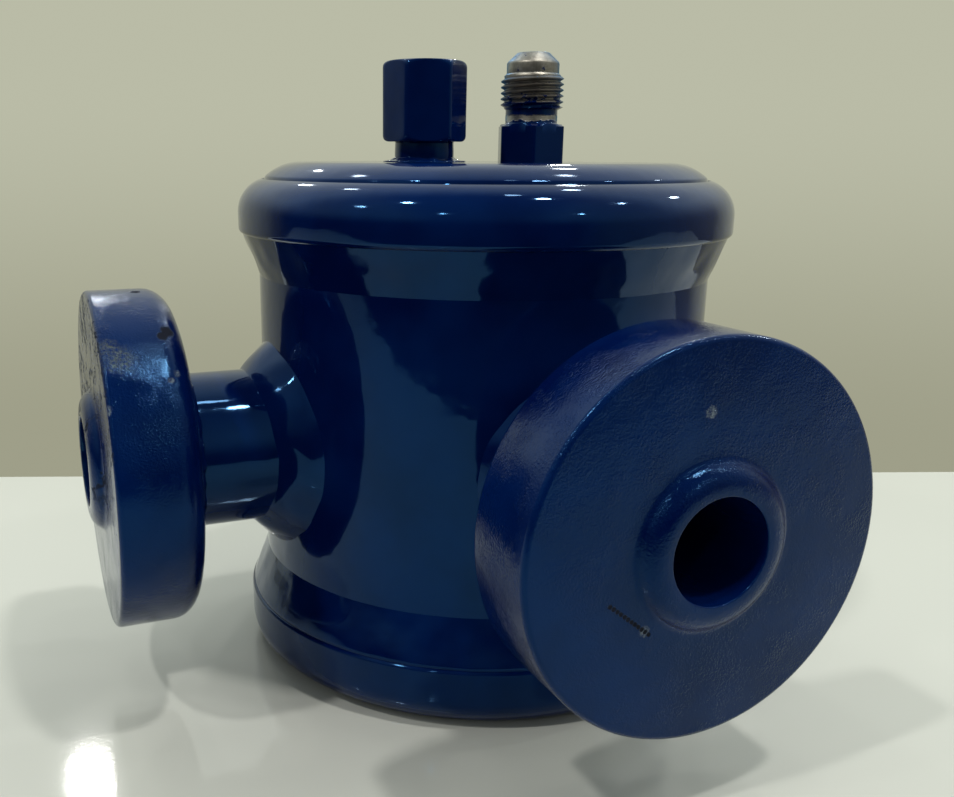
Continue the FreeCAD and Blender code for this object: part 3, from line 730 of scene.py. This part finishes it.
def makeFlangeWeld(side, back, leg, seed):
    low = back - leg
    mesh = (Outline(neckRadius - 0.3, back + 0.3).to(neckRadius - 0.3, low)
            .to(neckRadius + 0.1, low, 0.2).to(neckRadius + leg * 0.45, back - leg * 0.55, 1.0)
            .to(neckRadius + leg, back - 0.1, 0.2).to(neckRadius + leg, back + 0.3)).spun(160, 4)
    lumpy(mesh, 0.5, 3.0, seed)
    toPort(mesh, side)
    finishPiece(side + "FlangeWeld", mesh, weldEnamel, side + "_flange_weld", 60)


def makeSaddleWeld(side, out, leg, seed):
    # circles laid over the saddle between neck and tube, bridged one to the next
    mesh = bmesh.new()
    steps = 12
    bulge = 0.35
    tuck = 0.4
    levels = [(-tuck, leg + tuck)]
    for step in range(steps + 1):
        share = step / steps
        levels.append((leg * share, leg * (1 - share) + bulge * math.sin(math.pi * share)))
    levels += [(leg + tuck, -tuck), (-tuck, -tuck)]
    rings = []
    for outwards, lift in levels:
        known = set(mesh.edges)
        circle = bmesh.ops.create_circle(mesh, cap_ends=False, segments=160, radius=neckRadius + outwards)
        for vert in circle["verts"]:
            vert.co.z = onTube(tubeOuter, vert, out) + lift
        rings.append([edge for edge in mesh.edges if edge not in known])
    for first, second in zip(rings, rings[1:] + rings[:1]):
        bmesh.ops.bridge_loops(mesh, edges=first + second)
    bmesh.ops.recalc_face_normals(mesh, faces=list(mesh.faces))
    lumpy(mesh, 0.4, 7.0, seed)
    toPort(mesh, side)
    finishPiece(side + "NeckWeld", mesh, weldEnamel, side + "_neck_weld", 60)


for side, sizes in portSizes.items():
    reach = -cadLow(side + "_flange", sizes["out"])
    back = -cadHigh(side + "_flange", sizes["out"])
    makeNeck(side, sizes["out"], reach, neckSizes)
    makeFlange(side, sizes, reach, back, neckSizes)
    makeFlangeWeld(side, back, neckSizes["flangeLeg"], sizes["seed"])
    makeSaddleWeld(side, sizes["out"], neckSizes["weldLeg"], sizes["seed"] + 2)
print("ports made")

# Flare inlet

inletSizes = {
    "flats": 15.875, "hexTop": plateTop + 9.3, "turn": 6.8, "hexEdge": 0.55, "roundness": 70,
    "neck": 6.6, "relief": 0.5, "pilotTop": 149.3, "pilotEdge": 0.35, "nose": 4.0,
    "noseTop": cadHigh("inlet_fitting", "z"), "noseEdge": 0.2,
    "bore": 3.4, "spigotLow": cadLow("inlet_fitting", "z"), "well": 5.2, "wellTop": plateTop,
}
inletThread = {"pitch": 1.411, "crest": 7.94, "root": 7.08, "low": 137.9, "high": 146.7, "neck": 6.62,
               "runIn": 1.9, "runOut": 1.05, "sleeve": 6.0}


def makeInlet(sizes, thread):
    flats, hexTop, neck, bore = sizes["flats"], sizes["hexTop"], sizes["neck"], sizes["bore"]
    corner = flats / math.sqrt(3)
    outline = Outline(bore, plateTop)
    for share in range(4):
        outline.to(corner, plateTop + (hexTop - plateTop) * share / 4)
    outline.to(corner, hexTop - sizes["hexEdge"]).to(flats / 2 - 0.1, hexTop)
    outline.to(neck, hexTop, sizes["relief"]).to(neck, thread["low"] + 0.4)
    outline.to(neck - 0.1, thread["high"] - 0.4).to(neck, thread["high"])
    outline.to(neck, sizes["pilotTop"], sizes["pilotEdge"])
    outline.to(sizes["nose"], sizes["noseTop"], sizes["noseEdge"])
    mesh = outline.to(bore, sizes["noseTop"], sizes["noseEdge"]).spun(192, 3)
    clipToHexagon(mesh, flats, sizes["turn"], sizes["roundness"], neck + 0.6, hexTop + 0.01)
    spigotTop = plateTop + 0.2
    well = (Outline(sizes["well"], sizes["spigotLow"]).to(spigotRadius, sizes["spigotLow"])
            .to(spigotRadius, spigotTop).to(bore, spigotTop)
            .to(bore, sizes["wellTop"]).to(sizes["well"], sizes["wellTop"])).spun(96)
    addMesh(mesh, well)
    bmesh.ops.translate(mesh, vec=(inletX, 0, 0), verts=list(mesh.verts))
    addThread(mesh, thread, inletX)
    finishPiece("inletFitting", mesh, halfPaintedSteel, "inlet_fitting", 32)


makeInlet(inletSizes, inletThread)

# Stem boss and seal cap

bossSizes = {
    "neck": cadHigh("stem_boss", "x") - stemX, "low": cadLow("stem_boss", "z"),
    "neckTop": plateTop + 5.4, "top": cadHigh("stem_boss", "z"), "bore": 4.05, "shaft": 5.35, "edge": 0.4,
    "flare": cadHigh("stem_boss_weld", "x") - stemX, "flareTop": cadHigh("stem_boss_weld", "z"), "tuck": 0.3,
}
bossThread = {"pitch": 1.27, "crest": 6.35, "root": 5.62, "low": bossSizes["neckTop"],
              "high": bossSizes["top"], "neck": 5.6, "runIn": 2.0, "runOut": 1.2, "sleeve": 5.0}
capSizes = {
    "flats": 18.2, "turn": 42.6, "crown": 1.7, "roundness": 60,
    "low": cadLow("seal_cap", "z"), "top": cadHigh("seal_cap", "z"), "roof": cadHigh("cap_gasket", "z"),
    "mouth": 7.5, "mouthTop": bossSizes["neckTop"] + 1.0, "bore": 6.4,
}


def makeBoss(sizes, thread):
    neck, edge = sizes["neck"], sizes["edge"]
    mesh = (Outline(sizes["bore"], sizes["low"]).to(neck, sizes["low"], edge)
            .to(neck, plateTop).to(neck + 0.15, plateTop + 1.6, 0.8)
            .to(neck, sizes["neckTop"], edge).to(sizes["shaft"], sizes["neckTop"])
            .to(sizes["shaft"], sizes["top"]).to(sizes["bore"], sizes["top"])).spun(128, 4)
    bmesh.ops.translate(mesh, vec=(stemX, 0, 0), verts=list(mesh.verts))
    addThread(mesh, thread, stemX)
    finishPiece("stemBoss", mesh, glossEnamel, "stem_boss", 32)

    low, top, inner = plateTop - 0.2, sizes["flareTop"], neck - sizes["tuck"]
    mesh = (Outline(inner, low).to(sizes["flare"], low).to(sizes["flare"], plateTop + 0.25, 0.15)
            .to(neck + 1.0, plateTop + 0.5, 0.5).to(neck + 0.1, top, 0.3).to(inner, top)).spun(128, 4)
    lumpy(mesh, 0.5, 2.2, 21.0, plateTop, plateTop + 3, 0.6)
    bmesh.ops.translate(mesh, vec=(stemX, 0, 0), verts=list(mesh.verts))
    finishPiece("stemBossWeld", mesh, weldEnamel, "stem_boss_weld", 60)


def makeCap(sizes):
    low, top, roof, crown = sizes["low"], sizes["top"], sizes["roof"], sizes["crown"]
    corner = sizes["flats"] / math.sqrt(3)
    outline = Outline(sizes["mouth"], low).to(corner, low, crown)
    for share in (0.2, 0.4, 0.6, 0.8):
        outline.to(corner, low + (top - low) * share)
    outline.to(corner, top, crown).to(5.0, top).to(0, top)
    outline.to(0, roof).to(sizes["bore"], roof).to(sizes["bore"], sizes["mouthTop"])
    mesh = outline.to(sizes["mouth"], sizes["mouthTop"]).spun(192, 8)
    clipToHexagon(mesh, sizes["flats"], sizes["turn"], sizes["roundness"], sizes["mouth"] + 0.7)
    bmesh.ops.translate(mesh, vec=(stemX, 0, 0), verts=list(mesh.verts))
    finishPiece("sealCap", mesh, glossEnamel, "seal_cap", 40, body="cap")


makeBoss(bossSizes, bossThread)
makeCap(capSizes)
print("head fittings made")

# Finishes of the inner pieces, which stay as the CAD made them

innerFinishes = {
    innerSteel: ["guide_posts", "post_nuts", "pivot_bracket"],
    stainless: ["inlet_strainer", "valve_seat", "valve_needle", "adjusting_stem", "pivot_pin",
                "level_spring", "float_arm", "float_upper_half", "float_lower_half", "float_stud",
                "float_nut"],
    brass: ["valve_body", "spring_nut"],
    rubber: ["stem_o_ring"],
    polymer: ["cap_gasket"],
}

for material, names in innerFinishes.items():
    for name in names:
        for slot in cadNodes[name].material_slots:
            slot.material = material

print("inner pieces finished")

# Floor, lamps and surroundings

floorSizes = {
    "left": -1.3, "right": 1.3, "front": -0.335, "back": 0.1264, "turn": -20.44,
    "shade": (0.69, 0.70, 0.64), "light": (0.74, 0.75, 0.685), "mirror": 1.42,
}


def makeFloor(sizes):
    mesh = bmesh.new()
    bmesh.ops.create_grid(mesh, x_segments=2, y_segments=2, size=0.5)
    width, depth = sizes["right"] - sizes["left"], sizes["back"] - sizes["front"]
    bmesh.ops.scale(mesh, vec=(width, depth, 1), verts=list(mesh.verts))
    middle = ((sizes["left"] + sizes["right"]) / 2, (sizes["front"] + sizes["back"]) / 2, 0)
    bmesh.ops.translate(mesh, vec=middle, verts=list(mesh.verts))
    bmesh.ops.rotate(mesh, cent=(0, 0, 0), verts=list(mesh.verts),
                     matrix=Matrix.Rotation(math.radians(sizes["turn"]), 3, "Z"))
    data = bpy.data.meshes.new("floor")
    mesh.to_mesh(data)
    mesh.free()
    material = bpy.data.materials.new("paleFloor")
    sheet = NodeSheet(material)
    spot = sheet.place()
    slow = sheet.cloud(spot, 6, 2)
    fine = sheet.cloud(spot, 900, 2)
    sheet.surface({
        "Base Color": sheet.mixColours(slow, sizes["shade"], sizes["light"]), "IOR": sizes["mirror"],
        "Roughness": 0.06 + slow * 0.03, "Normal": sheet.bump(fine, 0.000008)})
    data.materials.append(material)
    floor = bpy.data.objects.new("floor", data)
    bpy.context.scene.collection.objects.link(floor)


makeFloor(floorSizes)

# ceiling lamps: places across and along in millimetres before the turn, and a share of the power
lampSizes = {
    "height": 1.5, "size": 0.10, "power": 5.6, "turn": -26.82, "colour": (1.0, 0.99, 0.95),
    "places": [(445, -250, 1.0), (-682, -624, 1.0), (444, 685, 0.2), (-737, 803, 0.12), (184, 16, 0.08),
               (1358, -173, 0.35), (1629, 941, 0.35), (377, 1598, 0.2), (-1007, 1970, 0.5), (379, 3196, 1.2),
               (1796, -1697, 0.3), (-674, -2105, 0.3), (-1523, -785, 0.3)],
}


def makeLamps(sizes):
    turn = Matrix.Rotation(math.radians(sizes["turn"]), 4, "Z")
    for across, along, share in sizes["places"]:
        data = bpy.data.lights.new("ceilingLamp", "AREA")
        data.shape = "DISK"
        data.size = sizes["size"]
        data.energy = sizes["power"] * share
        data.color = sizes["colour"]
        lamp = bpy.data.objects.new("ceilingLamp", data)
        place = turn @ Vector((across * millimetre, along * millimetre, sizes["height"]))
        lamp.matrix_world = Matrix.Translation(place) @ place.to_track_quat("Z", "Y").to_matrix().to_4x4()
        bpy.context.scene.collection.objects.link(lamp)


makeLamps(lampSizes)

skyLook = {
    "turn": 26.82,                       # brings the room's back wall to +Y
    "wall": (0.49, 0.50, 0.385),
    "wallLow": (0.345, 0.345, 0.25),
    "ceiling": (0.83, 0.90, 0.85),
    "dim": (0.012, 0.012, 0.012),
}


def makeSurroundings(look):
    # the camera sees the wall, and the paint mirrors the room's wall, ceiling and dim side
    world = bpy.data.worlds.new("room")
    bpy.context.scene.world = world
    sheet = NodeSheet(world)
    way = sheet.add("ShaderNodeTexCoord", result="Generated")
    turned = sheet.add("ShaderNodeVectorRotate", {"rotation_type": "Z_AXIS"},
                       {"Vector": way, "Angle": math.radians(look["turn"])})
    x, y, z = (sheet.part(turned, letter) for letter in "XYZ")
    wall = sheet.mixColours(z.ease(-0.26, 0.06), look["wallLow"], look["wall"])
    seen = sheet.add("ShaderNodeLightPath", result="Is Camera Ray")
    behind = (y - x * 0.15).ease(0.2, 0.68) * z.ease(0.9, 0.6)
    beside = x.ease(0.6, 0.9) * z.ease(0.5, 0.2) * 0.4
    over = z.ease(0.12, 0.6) * y.ease(-0.15, 0.4) * 0.72
    over = over + z.ease(0.0, 0.45) * ((x * x).ease(0.04, 0.36) * 0.28 + 0.16)
    room = sheet.mixColours(behind.larger(beside), look["dim"], wall)
    room = sheet.mixColours(over, room, look["ceiling"])
    colour = sheet.mixColours(seen, room, wall)
    background = sheet.add("ShaderNodeBackground", None, {"Color": colour, "Strength": 1.0})
    sheet.add("ShaderNodeOutputWorld", None, {"Surface": background})


makeSurroundings(skyLook)
print("stage made")
